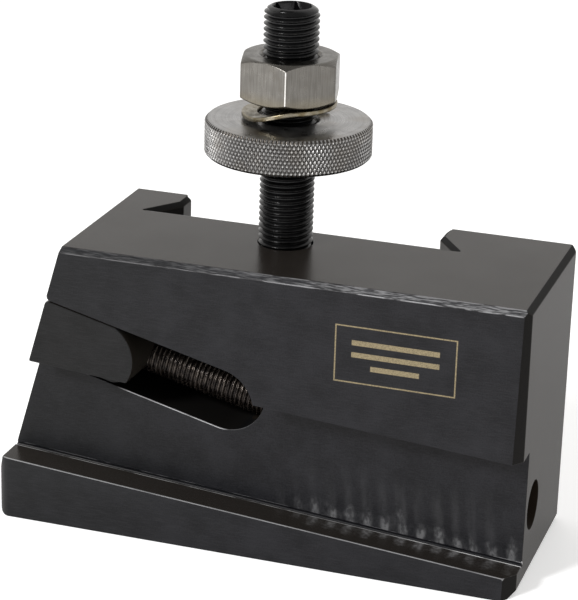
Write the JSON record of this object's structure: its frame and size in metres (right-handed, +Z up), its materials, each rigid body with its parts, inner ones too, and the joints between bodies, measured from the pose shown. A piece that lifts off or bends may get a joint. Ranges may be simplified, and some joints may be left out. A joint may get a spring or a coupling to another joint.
{
  "type": "parting blade holder for a quick change tool post",
  "caption": "Block that clamps a parting blade in a sloping channel by a screw-drawn wedge, with a rear dovetail and a threaded stud carrying a knurled height nut.",
  "frame": {"origin": "under the middle of the body on its bottom face, 0.6 mm to the right of the height stud's axis", "axes": "+Z up along the height stud, -Y out of the blade channel's side, +Y out of the dovetail, +X towards the end where the clamp screw's head is reached"},
  "size_m": [0.1396, 0.0538, 0.1389],
  "materials": {
    "black_oxide": "black oxide over milled and ground steel",
    "wedge_black": "black oxide over milled steel",
    "stud_black": "oily black oxide thread",
    "screw_bronze": "dark bronze-black oxide thread",
    "turned_steel": "satin turned steel with a knurled rim",
    "plated_steel": "brushed nickel-coloured steel",
    "yellow_zinc": "thin yellow zinc plating"
  },
  "bodies": {
    "holder": {"holder_body": "black_oxide", "height_stud": "stud_black"},
    "wedge": {"clamp_wedge": "wedge_black"},
    "screw": {"clamp_screw": "screw_bronze"},
    "washer": {"lock_washer": "yellow_zinc"},
    "knurled_nut": {"thumb_nut": "turned_steel"},
    "hex_nut": {"lock_nut": "plated_steel"}
  },
  "joints": [
    {"name": "wedge_slide", "type": "slide", "parent": "holder", "child": "wedge", "axis": [0.9703, 0, -0.2419], "range_m": [-0.00625, 0.0175]},
    {"name": "clamp_screw_turn", "type": "hinge", "parent": "holder", "child": "screw", "pos_m": [0.06985, -0.00895, 0.0193], "axis": [-0.9703, 0, 0.2419], "range_deg": [-1810, 5050]},
    {"name": "nut_height", "type": "slide", "parent": "holder", "child": "washer", "axis": [0, 0, 1], "range_m": [-0.0225, 0.0105]},
    {"name": "thumb_nut_turn", "type": "hinge", "parent": "washer", "child": "knurled_nut", "pos_m": [-0.0006, 0, 0.1053], "axis": [0, 0, 1], "range_deg": [-5410, 2530]},
    {"name": "lock_nut_turn", "type": "hinge", "parent": "washer", "child": "hex_nut", "pos_m": [-0.0006, 0, 0.1213], "axis": [0, 0, 1], "range_deg": [-5410, 2530]}
  ],
  "couplings": [
    {"joint": "clamp_screw_turn", "follows": "wedge_slide", "rad_per_m": 5026.5},
    {"joint": "thumb_nut_turn", "follows": "nut_height", "rad_per_m": 4188.8},
    {"joint": "lock_nut_turn", "follows": "nut_height", "rad_per_m": 4188.8}
  ]
}
